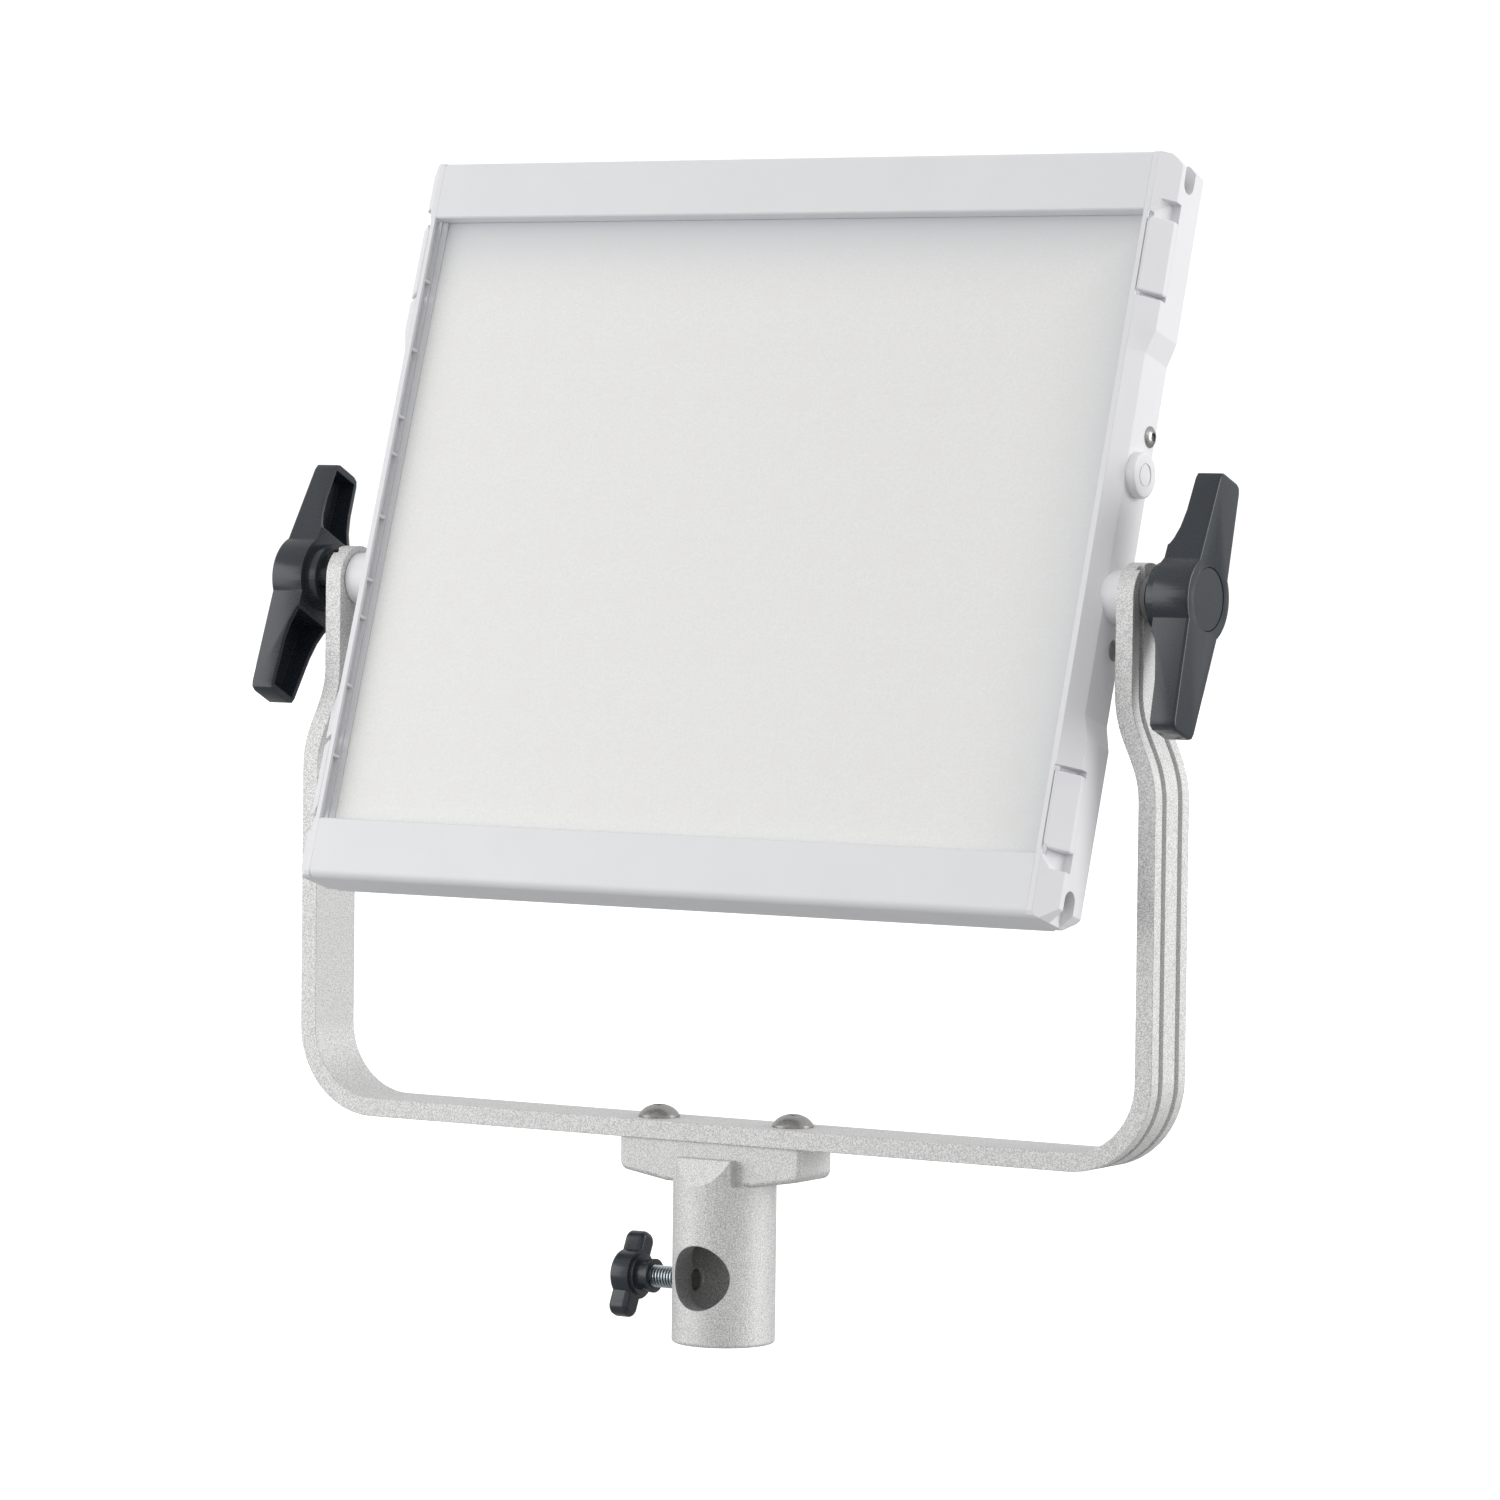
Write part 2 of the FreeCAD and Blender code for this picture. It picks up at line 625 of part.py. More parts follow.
def build_end_cap(name, side):
    """End cap: bevelled bar with a recessed middle, latch slots, inner vents and bosses."""
    tag = name + "_cap_"
    centre = D["headRise"]
    flat, ramp = D["recessHalf"], D["recessHalf"] + D["recessRamp"]
    pieces = [
        cap_prism(tag + "middle", side, cap_section(CAP_MIDDLE), centre - flat, centre + flat),
        cap_prism(tag + "upper", side, cap_section(CAP_SIDE), centre + ramp, HEAD_TOP),
        cap_prism(tag + "lower", side, cap_section(CAP_SIDE), HEAD_LOW, centre - ramp),
        cap_ramp(tag + "ramp_up", side, centre + flat, centre + ramp),
        cap_ramp(tag + "ramp_down", side, centre - flat, centre - ramp),
    ]
    bar = join(tag + "bar", *pieces)

    # end chamfers seen from the front, and back-corner chamfers seen from the side
    reach = CAP_SIDE + 1
    seen = [
        (HALF_RAIL, HEAD_LOW), (CAP_SIDE - LOW_CHAMFER, HEAD_LOW), (reach, HEAD_LOW + LOW_CHAMFER + 1),
        (reach, HEAD_TOP - TOP_CHAMFER - 1), (CAP_SIDE - TOP_CHAMFER, HEAD_TOP), (HALF_RAIL, HEAD_TOP),
    ]
    seen = [(side * sized(x), z) for x, z in seen]
    front_view = prism(tag + "front", "XZ_Plane", [seen], -BACK - 1, -FRONT + 1)
    profile = [
        (FRONT, HEAD_LOW + 2.6), (FRONT + 0.8, HEAD_LOW + 0.8), (FRONT + 2.6, HEAD_LOW),
        (BACK - BACK_CHAMFER, HEAD_LOW),
        (BACK, HEAD_LOW + BACK_CHAMFER), (BACK, HEAD_TOP - BACK_CHAMFER), (BACK - BACK_CHAMFER, HEAD_TOP),
        (FRONT + 1.0, HEAD_TOP), (FRONT, HEAD_TOP - 1.0),
    ]
    side_view = prism(tag + "side", "YZ_Plane", [profile], -reach, reach)
    bar = overlap(tag + "chamfered", bar, front_view, side_view)
    outward = "+X" if side > 0 else "-X"
    boss = rod(tag + "boss", TRUNNION_BOSS, 12.0, (side * (CAP_MIDDLE - 4.3), 0, 0), outward)
    bar = join(tag + "blank", bar, boss)
    tools = [rod(tag + "trunnion_hole", D["trunnionRadius"], 20.0, (side * (HALF_RAIL - 1), 0, 0), outward)]
    # latch slots near both ends
    for label, way in (("upper", 1), ("lower", -1)):
        inner = centre + way * (D["latchCentre"] - D["latchLength"] / 2 - D["latchSpare"])
        outer = inner + way * D["latchWindow"]
        low, high = (inner, outer) if way > 0 else (outer, inner)
        slot = cap_prism(tag + label + "_slot", side, slot_section(), low, high)
        corner = [(LATCH_LIP - 1, outer - way * WEDGE_TALL), (LATCH_LIP - 1, outer),
                  (LATCH_LIP - 1 + WEDGE_WIDE, outer)]
        corner = [(side * sized(x), z) for x, z in corner]
        wedge = prism(tag + label + "_wedge", "XZ_Plane", [corner], -BACK, -FRONT + 2)
        tools.append(cut(tag + label + "_opening", slot, wedge))
        # recessed corner screw, open to the end of the cap
        end = HEAD_TOP if way > 0 else HEAD_LOW
        seat = centre + way * (D["windowHeight"] / 2 + SCREW_BEYOND)
        start = (side * (CAP_SIDE - 5.5), -1.5, seat)
        tools.append(rod(tag + label + "_seat", 4.4, 7.0, start, outward))
        xs = sorted((side * float(CAP_SIDE - 5.5), side * float(reach)))
        zs = sorted((float(seat), float(end) + way))
        tools.append(box(tag + label + "_mouth", (xs[0], -5.9, zs[0]), (xs[1], 2.9, zs[1])))
        hole = (side * (HALF_RAIL - 1), -1.5, seat)
        tools.append(rod(tag + label + "_hole", SCREW_SHANK + D["holePlay"], 12.0, hole, outward))
        # screws in the recessed middle
        hole = (side * (HALF_RAIL - 1), CAP_SCREW_BACK, centre + way * CAP_SCREW_RISE)
        tools.append(rod(tag + label + "_screw", SCREW_SHANK + D["holePlay"], 12.0, hole, outward))
    if side > 0:
        tools.append(rod(tag + "vent_hole", 6.0, 12.0, (HALF_RAIL - 1, 0, centre + VENT_RISE), outward))
    # long vent slot behind the lip, bridged by ribs
    half = D["windowHeight"] / 2
    stops = sorted({way * rise for rise in RIBS for way in (-1, 1)})
    ribs = [stop + shift * RIB_WIDTH / 2 for stop in stops for shift in (-1, 1)]
    edges = [-float(half)] + ribs + [float(half)]
    depths = sorted((side * float(HALF_RAIL) - side, side * float(HALF_RAIL) + side * 2.5))
    for index in range(0, len(edges), 2):
        low = (depths[0], FRONT + 1.4, centre + edges[index])
        high = (depths[1], FRONT + D["diffuserSink"] - 0.6, centre + edges[index + 1])
        tools.append(box(tag + "vent_%d" % index, low, high))
    node(name + "_end_cap", cut(name + "_end_cap", bar, *tools), HEAD)


def build_latches(name, side):
    """Two sliding catches per cap that hold accessories in the front frame."""
    for label, way in (("upper", 1), ("lower", -1)):
        middle = D["headRise"] + way * D["latchCentre"]
        low, high = middle - D["latchLength"] / 2, middle + D["latchLength"] / 2
        title = "latch_%s_%s" % (label, name)
        bar = cap_prism(title + "_bar", side, latch_section(), low, high)
        # corner cut at the slope of the slot's wedge, where the latch stops
        end, edge = middle + way * D["latchLength"] / 2, LATCH_LIP + LATCH_GAP
        slope = WEDGE_TALL / WEDGE_WIDE
        corner = [(edge - 1, end - way * (LATCH_CORNER + 1) * slope), (edge - 1, end + way),
                  (edge + LATCH_CORNER + 1 / slope, end + way)]
        corner = [(side * sized(x), z) for x, z in corner]
        bar = cut(title + "_blank", bar, prism(title + "_corner", "XZ_Plane", [corner], -BACK, -FRONT + 2))

        def outer_end(edge):
            x, forward = abs(edge.CenterOfMass.x), -edge.CenterOfMass.y
            showing = x + forward > float(HALF_RAIL) + 16.2 and x > float(LATCH_BEND) - 3
            return showing and edge.BoundBox.ZLength < 0.01
        node(title, rounded(title, bar, 1.0, outer_end), HEAD)


def build_small_fasteners():
    """Side screws, corner screws and the pressure vent plug of the head."""
    socket_screw = dome_screw(4.7, 2.0, SCREW_SHANK, 8.0, 2.1)
    corner_screw = dome_screw(3.4, 2.0, SCREW_SHANK, 5.0, 1.6)
    beyond = num("windowHeight") / 2 + SCREW_BEYOND
    middle, corners = [], []
    rise = num("headRise")
    for side in SIDES.values():
        turn = Rotation(Y_AXIS, 90 * side)
        for way in (-1, 1):
            place = Vector(side * float(CAP_MIDDLE), CAP_SCREW_BACK, rise + way * CAP_SCREW_RISE)
            copy = socket_screw.copy()
            copy.Placement = Placement(place, turn)
            middle.append(copy)
            place = Vector(side * (float(CAP_SIDE) - 5.5), -1.5, rise + way * beyond)
            copy = corner_screw.copy()
            copy.Placement = Placement(place, turn)
            corners.append(copy)
    node("cap_screws", made("cap_screws", Part.makeCompound(middle)), HEAD)
    node("corner_screws", made("corner_screws", Part.makeCompound(corners)), HEAD)

    rise = D["headRise"] + VENT_RISE
    disc = rod("vent_disc", 10.0, 4.2, (CAP_MIDDLE, 0, rise), "+X")
    rim = float(CAP_MIDDLE) + 4
    disc = rounded("vent_rounded", disc, 1.3, lambda edge: edge.Closed and edge.CenterOfMass.x > rim)
    stem = rod("vent_stem", 6.0, CAP_MIDDLE - HALF_RAIL + 1, (HALF_RAIL, 0, rise), "+X")
    ring = rod("vent_ring", 5.2, 1.0, (CAP_MIDDLE + 3.8, 0, rise), "+X")
    core = rod("vent_core", 4.4, 3.0, (CAP_MIDDLE + 1.0, 0, rise), "+X")
    plug = join("vent_body", disc, stem)
    node("vent_plug", join("vent_plug", cut("vent_cut", plug, ring), core), HEAD)


# ---------------------------------------------------------------- head: light engine
DIFFUSER_FRONT = FRONT + D["diffuserSink"] + 0.8
LED_PITCH = 23.5
LED_COLUMNS = 15
LED_ROWS = 12


def build_light_engine():
    """Side ledges, frosted sheet, LED board and its emitters, from front to back."""
    ledge = D["frameLedge"]
    frame_front = FRONT + D["diffuserSink"]
    clear = 0.1
    low, high = WINDOW_LOW + clear, WINDOW_TOP - clear
    half = HALF_RAIL - clear
    outer = box("frame_outer", (-half, frame_front, low), (half, frame_front + 1.6, high))
    inner = box("frame_inner", (-half + ledge, frame_front - 1, low - 1),
                (half - ledge, frame_front + 3, high + 1))
    node("diffuser_ledges", cut("diffuser_ledges", outer, inner), HEAD)

    sheet_low = DIFFUSER_FRONT + D["diffuserSheet"]
    wide = half - ledge - clear
    pane = box("diffuser", (-wide, DIFFUSER_FRONT, low), (wide, sheet_low, high))
    node("diffuser", pane, HEAD)

    board_front = BACK - 6.6
    board = box("led_board", (-half + 2, board_front, low + 2), (half - 2, board_front + 1.6, high - 2))
    node("led_board", board, HEAD)

    chips = []
    for column in range(LED_COLUMNS):
        for row in range(LED_ROWS):
            x = (column - (LED_COLUMNS - 1) / 2) * LED_PITCH
            z = num("headRise") + (row - (LED_ROWS - 1) / 2) * LED_PITCH
            chips.append(Part.makeBox(5.0, 0.9, 5.0, Vector(x - 2.5, float(board_front) - 0.9, z - 2.5)))
    node("leds", made("leds", Part.makeCompound(chips)), HEAD)


# ---------------------------------------------------------------- head: back
FIN_PITCH = 9.0
FIN_THICK = 1.8
FIN_DEPTH = 14.0
FIN_INSET = 16.0
BOX_BACK = BACK + D["boxDepth"]
BOX_TOP = D["headRise"] + D["boxHigh"]
BOX_BOTTOM = D["headRise"] + D["boxLow"]
FASCIA_THICK = 2.0
SOCKET_PLACES = (-60.0, -22.0, 12.0)
SOCKET_RADII = (12.2, 9.2, 9.2)
SOCKET_DEPTH = 27.0
SOCKET_NAMES = ("power_inlet", "data_in_socket", "data_out_socket")
DIAL_PLACES = {"dimmer_dial": 42.0, "colour_dial": 70.0}
DIAL_RADIUS = 9.0
DIAL_HEIGHT = 11.0
DIAL_LEVEL = 20.0
BUTTON_PLACES = {"menu_button": 38.0, "mode_button": 56.0, "back_button": 74.0}
BUTTON_LEVEL = -12.0
BUTTON_RADIUS = 5.0
BUTTON_TRAVEL = 1.0
DISPLAY_LOW = (-78.0, -4.0)
DISPLAY_HIGH = (14.0, 40.0)
ROCKER_CENTRE = (-64.0, -30.0)
ROCKER_HALF = (9.6, 6.4)


def build_back():
    """Finned rear plate with the electronics box on it."""
    clear = 0.1
    low, high = WINDOW_LOW + clear, WINDOW_TOP - clear
    half = HALF_RAIL - clear
    plate = box("rear_plate", (-half, BACK - 5.0, low), (half, BACK - 2.4, high))
    edge = float(D["boxHalf"]) + 8.0
    count = int((float(half) - FIN_INSET - edge) // FIN_PITCH) + 1
    fins = []
    for side in SIDES.values():
        for index in range(count):
            x = side * (edge + index * FIN_PITCH) - FIN_THICK / 2
            start = (x, BACK - 2.6, low + FIN_INSET)
            end = (x + FIN_THICK, BACK - 2.4 + FIN_DEPTH, high - FIN_INSET)
            fins.append(box("fin", start, end))
    node("rear_heatsink", join("rear_heatsink", plate, *fins), HEAD)

    wide = D["boxHalf"]
    base = BACK - 2.4
    shell = box("box_outer", (-wide, base, BOX_BOTTOM), (wide, BOX_BACK, BOX_TOP))
    shell = rounded("box_rounded", shell, 5.0, lambda edge: along(edge, Y_AXIS))
    wall = D["boxWall"]
    room = box("box_room", (wall - wide, base - 1, BOX_BOTTOM + wall),
               (wide - wall, BOX_BACK + 1, BOX_TOP - wall))
    holes = [room]
    for x, radius in zip(SOCKET_PLACES, SOCKET_RADII):
        start = (x, SOCKET_DEPTH, BOX_BOTTOM - 1)
        holes.append(rod("box_hole", radius + D["holePlay"], wall + 2, start, "+Z"))
    node("control_box", cut("control_box", shell, *holes), HEAD)
    build_fascia()


def build_fascia():
    """Back lid of the box with its display, dials, buttons and rocker, plus the boards inside."""
    wide, wall = D["boxHalf"], D["boxWall"]
    centre = D["headRise"]
    clear = 0.1
    back = BOX_BACK
    inside = back - FASCIA_THICK
    lid = box("fascia_blank", (wall - wide + clear, inside, BOX_BOTTOM + wall + clear),
              (wide - wall - clear, back, BOX_TOP - wall - clear))
    holes = [box("display_hole", (DISPLAY_LOW[0], inside - 1, centre + DISPLAY_LOW[1]),
                 (DISPLAY_HIGH[0], back + 1, centre + DISPLAY_HIGH[1]))]
    for x in DIAL_PLACES.values():
        holes.append(rod("dial_hole", 3.05, 6.0, (x, inside - 1, centre + DIAL_LEVEL), "+Y"))
    for x in BUTTON_PLACES.values():
        hole_radius = BUTTON_RADIUS + D["partGap"]
        holes.append(rod("button_hole", hole_radius, 6.0, (x, inside - 1, centre + BUTTON_LEVEL), "+Y"))
    x, z = ROCKER_CENTRE
    wide_half, tall_half = ROCKER_HALF
    holes.append(box("rocker_hole", (x - wide_half, inside - 1, centre + z - tall_half),
                     (x + wide_half, back + 1, centre + z + tall_half)))
    for name, way in SIDES.items():
        for rise in (-50.0, 50.0):
            start = (way * 84.0, inside - 1, centre + rise)
            holes.append(rod("fascia_hole", 1.5 + D["holePlay"], 6.0, start, "+Y"))
    node("control_fascia", cut("control_fascia", lid, *holes), HEAD)

    window = box("display_window", (DISPLAY_LOW[0] + clear, inside, centre + DISPLAY_LOW[1] + clear),
                 (DISPLAY_HIGH[0] - clear, back - 0.3, centre + DISPLAY_HIGH[1] - clear))
    node("display_window", window, HEAD)

    screw = dome_screw(2.8, 1.4, 1.5, 7.0, 1.2)
    screws = []
    for way in SIDES.values():
        for rise in (-50.0, 50.0):
            copy = screw.copy()
            place = Vector(way * 84.0, float(back), float(centre) + rise)
            copy.Placement = Placement(place, Rotation(X_AXIS, -90))
            screws.append(copy)
    node("fascia_screws", made("fascia_screws", Part.makeCompound(screws)), HEAD)

    for name, x in DIAL_PLACES.items():
        grip = rod(name + "_grip", DIAL_RADIUS, DIAL_HEIGHT, (x, back + 0.4, centre + DIAL_LEVEL), "+Y")
        grip = rounded(name + "_rounded", grip, 1.0,
                       lambda edge: edge.Closed and edge.CenterOfMass.y > float(back) + DIAL_HEIGHT)
        shaft = rod(name + "_shaft", 3.0, 8.0, (x, back - 7.0, centre + DIAL_LEVEL), "+Y")
        node(name, join(name, grip, shaft), HEAD)
    for name, x in BUTTON_PLACES.items():
        cap = rod(name, BUTTON_RADIUS, 4.4, (x, back - 2.8, centre + BUTTON_LEVEL), "+Y")
        node(name, rounded(name + "_cap", cap, 0.6,
                           lambda edge: edge.Closed and edge.CenterOfMass.y > float(back)), HEAD)

    x, z = ROCKER_CENTRE
    bezel = box("rocker_bezel_blank", (x - wide_half - 2, back, centre + z - tall_half - 2),
                (x + wide_half + 2, back + 1.2, centre + z + tall_half + 2))
    tub = box("rocker_tub", (x - wide_half, back - 9, centre + z - tall_half),
              (x + wide_half, back + 1, centre + z + tall_half))
    well = box("rocker_well", (x - wide_half + 1, back - 8, centre + z - tall_half + 1),
               (x + wide_half - 1, back + 2, centre + z + tall_half - 1))
    node("power_switch_housing", cut("power_switch_housing", join("switch_body", bezel, tub), well), HEAD)
    depth = float(back)
    width, low = wide_half - 1.9, float(centre) + z - tall_half + 1.6
    paddle = [(x - width, -(depth - 3.4)), (x - width, -(depth + 2.4)), (x, -(depth + 1.0)),
              (x + width, -(depth - 0.4)), (x + width, -(depth - 3.4))]
    outline = [(px, -py) for px, py in paddle]
    rocker = prism("rocker_paddle", "XY_Plane", [outline], low, low + 2 * tall_half - 3.2)
    pin_half = tall_half - 1.1
    pin = rod("rocker_pin", 1.0, 2 * pin_half, (x, back - 1.0, centre + z - pin_half), "+Z")
    node("power_rocker", join("power_rocker", rocker, pin), HEAD)

    for name, x, radius in zip(SOCKET_NAMES, SOCKET_PLACES, SOCKET_RADII):
        flange = rod(name + "_flange", radius + 2.4, 1.6, (x, SOCKET_DEPTH, BOX_BOTTOM - 1.6), "+Z")
        barrel = rod(name + "_barrel", radius, 22.0, (x, SOCKET_DEPTH, BOX_BOTTOM - 1.0), "+Z")
        well = rod(name + "_well", radius - 1.8, 14.0, (x, SOCKET_DEPTH, BOX_BOTTOM - 2.0), "+Z")
        pins = []
        contact = 3 if name == "power_inlet" else 5
        for index in range(contact):
            turn = 2 * math.pi * index / contact
            ring = (radius - 1.8) * 0.65
            start = (x + ring * math.cos(turn), SOCKET_DEPTH + ring * math.sin(turn), BOX_BOTTOM + 3)
            pins.append(rod(name + "_pin", 1.1, 12.0, start, "+Z"))
        shell = cut(name + "_shell", join(name + "_body", flange, barrel), well)
        node(name, join(name, shell, *pins), HEAD)

    board = box("control_board", (20.0, inside - 6.6, centre - 40), (88.0, inside - 5.0, centre + 40))
    node("control_board", board, HEAD)
    supply = box("supply_board", (-86.0, BACK + 3, centre + 2), (88.0, BACK + 4.6, centre + 54))
    coil = box("supply_coil", (-70.0, BACK + 4.4, centre + 10), (-46.0, BACK + 18, centre + 34))
    chip = rod("supply_capacitor", 7.0, 16.0, (-20.0, BACK + 4.4, centre + 24), "+Y")
    node("driver_board", join("driver_board", supply, coil, chip), HEAD)


# ---------------------------------------------------------------- tilt clamps
WASHER_THICK = 2.4
KNOB_BOSS_START = 215.4
KNOB_ROOT = 220.5
KNOB_BOSS = 15.5
KNOB_CORNER = 3.6
KNOB_TIP = 226.0
KNOB_TIP_HALF = 9.8
KNOB_ROOT_HALF = 14.5
KNOB_WALL = 2.5


def knob_pocket(side, way, reach):
    """Hollow on the yoke side of one handle arm."""
    slope = (KNOB_TIP_HALF - KNOB_ROOT_HALF) / (float(reach) - 8.0)
    ring = []
    for height in (sized(20.5), reach - 3.2):
        half = KNOB_ROOT_HALF + slope * (float(height) - 8.0) - KNOB_WALL
        ring.append((half, way * height))
    loop = ring + [(-x, z) for x, z in reversed(ring)]
    span = sorted((side * 200.0, side * (num("knobFace") - 3.0)))
    return prism("knob_pocket", "YZ_Plane", [loop], *span)


def arm_profile(reach):
    """Back of one arm as (distance along the axis, height): a concave sweep from the tip to the hub."""
    sweep = [(KNOB_TIP, reach + 1), (KNOB_TIP - 0.5, 36.0), (KNOB_TIP - 1.6, 28.0), (KNOB_TIP - 3.4, 22.5)]
    return sweep + [(KNOB_ROOT + 0.8, 20.2), (KNOB_ROOT, 19.6)]


def arm_outline(reach):
    """Front half of one arm as (half width, height) from its rounded tip to its root."""
    tip, corner = KNOB_TIP_HALF, KNOB_CORNER
    soft = corner * 0.29
    return [(tip - corner, reach), (tip - soft, reach - soft), (tip, reach - corner), (KNOB_ROOT_HALF, 8.0)]


def build_tilt_clamp(name, side, lean):
    """Trunnion bush, washer, threaded stud and T-handle on the tilt axis."""
    outward = "+X" if side > 0 else "-X"
    pivot = D["pivotHeight"]
    gap = D["partGap"]
    arm_out = D["yokeHalfHigh"]
    arm_in = arm_out - D["barThick"]
    bush_end = arm_out - 0.4
    start = (side * (HALF_RAIL + 1), 0, pivot)
    core = rod(name + "_bush_core", D["trunnionRadius"], arm_in - gap - HALF_RAIL - 1, start, outward)
    start = (side * (arm_in - gap - 0.5), 0, pivot)
    running = D["trunnionRadius"] - D["runningGap"]
    sleeve = rod(name + "_bush_sleeve", running, bush_end - arm_in + gap + 0.5, start, outward)
    stud_hole = D["studRadius"] + D["runningGap"]
    hole = rod(name + "_bush_hole", stud_hole, 40.0, (side * HALF_RAIL, 0, pivot), outward)
    node("trunnion_bush_" + name, cut("trunnion_bush_" + name, join(name + "_bush", core, sleeve), hole))

    start = arm_out + gap
    disc = rod(name + "_washer_disc", 10.5, WASHER_THICK, (side * start, 0, pivot), outward)
    eye = rod(name + "_washer_eye", stud_hole, WASHER_THICK + 2, (side * (start - 1), 0, pivot), outward)
    node("tilt_washer_" + name, cut("tilt_washer_" + name, disc, eye))

    stud = rod("tilt_stud_" + name, D["studRadius"], 40.0, (side * 189.0, 0, pivot), outward)
    node("tilt_stud_" + name, stud)

    # handle drawn upright about the X axis, then leaned
    face = D["knobFace"]
    up, down = D["knobReachUp"], D["knobReachDown"]
    right = arm_outline(up) + [(x, -z) for x, z in reversed(arm_outline(down))]
    outline = right + [(-sized(x), z) for x, z in reversed(right)]
    span = sorted((side * KNOB_BOSS_START, side * float(face)))
    blade = prism(name + "_blade", "YZ_Plane", [outline], *span)
    hub = rod(name + "_hub", D["knobHub"], face - KNOB_ROOT, (side * KNOB_ROOT, 0, 0), outward)
    seen = [(face, up + 1)] + arm_profile(up)
    seen = seen + [(x, -sized(z)) for x, z in reversed(arm_profile(down))] + [(face, -down - 1)]
    seen = [(side * sized(x), z) for x, z in seen]
    wedge = prism(name + "_wedge", "XZ_Plane", [seen], -20.0, 20.0)
    boss = rod(name + "_boss", KNOB_BOSS, face - KNOB_BOSS_START - 1, (side * KNOB_BOSS_START, 0, 0), outward)
    handle = join(name + "_handle", overlap(name + "_arms", blade, wedge), hub, boss)
    handle = rounded(name + "_soft", handle, 1.3, lambda edge: edge.BoundBox.XLength < 0.01
                     and abs(edge.CenterOfMass.x) > float(face) - 0.1)
    tools = [knob_pocket(side, 1, up), knob_pocket(side, -1, down)]
    tools.append(rod(name + "_cap_seat", 13.7, 5.0, (side * (face - 2.0), 0, 0), outward))
    start = (side * (KNOB_BOSS_START - 1), 0, 0)
    tools.append(rod(name + "_stud_seat", D["studRadius"], 229.0 - KNOB_BOSS_START + 1, start, outward))
    tools.append(rod(name + "_boss_well", 12.8, 3.0, start, outward))
    axis = Placement(Vector(0, 0, float(pivot)), Rotation(X_AXIS, -float(lean)))
    node("tilt_knob_" + name, cut("tilt_knob_" + name, handle, *tools), axis)
    cover = rod("tilt_cover_" + name, 13.4, 1.7, (side * (face - 2.0), 0, pivot), outward)
    node("tilt_cover_" + name, cover)


# ---------------------------------------------------------------- build and write
build_yoke_bar()
build_spigot_socket()
build_socket_bolts()
build_clamp()
build_rails()
for cap_name, cap_side in SIDES.items():
    build_end_cap(cap_name, cap_side)
    build_latches(cap_name, cap_side)
build_small_fasteners()
build_light_engine()
build_back()
build_tilt_clamp("right", 1, D["knobLeanRight"])
build_tilt_clamp("left", -1, D["knobLeanLeft"])

doc.recompute()
for item in doc.Objects:
    if "Invalid" in item.State or "Error" in item.State:
        raise RuntimeError("%s did not compute: %s" % (item.Label, item.State))
for label, item in NODES.items():
    if item.Shape.isNull() or not item.Shape.isValid():
        raise RuntimeError("%s has no valid shape" % label)
for label, item in NODES.items():
    item.Shape.exportStep("parts/%s.step" % label)
print("wrote %d sub-parts" % len(NODES))
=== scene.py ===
"""Looks of the soft LED panel light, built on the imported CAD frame. Lengths are metres."""
import json
import math

import bmesh
import bpy
from mathutils import Matrix, Vector


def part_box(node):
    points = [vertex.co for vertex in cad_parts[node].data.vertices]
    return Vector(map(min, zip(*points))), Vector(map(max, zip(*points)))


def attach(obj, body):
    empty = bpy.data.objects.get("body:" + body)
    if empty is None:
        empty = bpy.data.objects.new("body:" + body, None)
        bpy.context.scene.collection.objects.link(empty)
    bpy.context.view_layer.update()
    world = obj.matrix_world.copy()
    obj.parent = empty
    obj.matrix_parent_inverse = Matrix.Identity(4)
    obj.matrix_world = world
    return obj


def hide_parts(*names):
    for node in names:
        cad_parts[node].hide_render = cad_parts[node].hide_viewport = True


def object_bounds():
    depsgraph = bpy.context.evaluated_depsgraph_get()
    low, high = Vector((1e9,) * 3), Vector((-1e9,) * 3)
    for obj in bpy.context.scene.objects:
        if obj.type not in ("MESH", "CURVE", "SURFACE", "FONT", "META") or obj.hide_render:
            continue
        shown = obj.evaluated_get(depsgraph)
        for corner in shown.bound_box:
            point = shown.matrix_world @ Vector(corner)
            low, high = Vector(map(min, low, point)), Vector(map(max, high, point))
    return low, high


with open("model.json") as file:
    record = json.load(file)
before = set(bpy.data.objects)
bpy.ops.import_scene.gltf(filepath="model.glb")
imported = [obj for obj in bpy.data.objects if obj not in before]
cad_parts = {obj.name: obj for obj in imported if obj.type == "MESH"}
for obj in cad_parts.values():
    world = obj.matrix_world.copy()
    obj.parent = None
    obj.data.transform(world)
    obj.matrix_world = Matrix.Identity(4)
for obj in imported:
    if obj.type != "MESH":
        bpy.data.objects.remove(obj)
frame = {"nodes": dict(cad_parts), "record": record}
cad_box = [list(corner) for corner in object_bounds()]
NODES = frame["nodes"]
scene = bpy.context.scene

# ---------------------------------------------------------------- camera
CAMERA_PLACE = (1.47247, -2.34179, 0.39279)
CAMERA_YAW = 31.976
CAMERA_PITCH = 2.687
CAMERA_ROLL = 0.651
CAMERA_LENS = 150.43


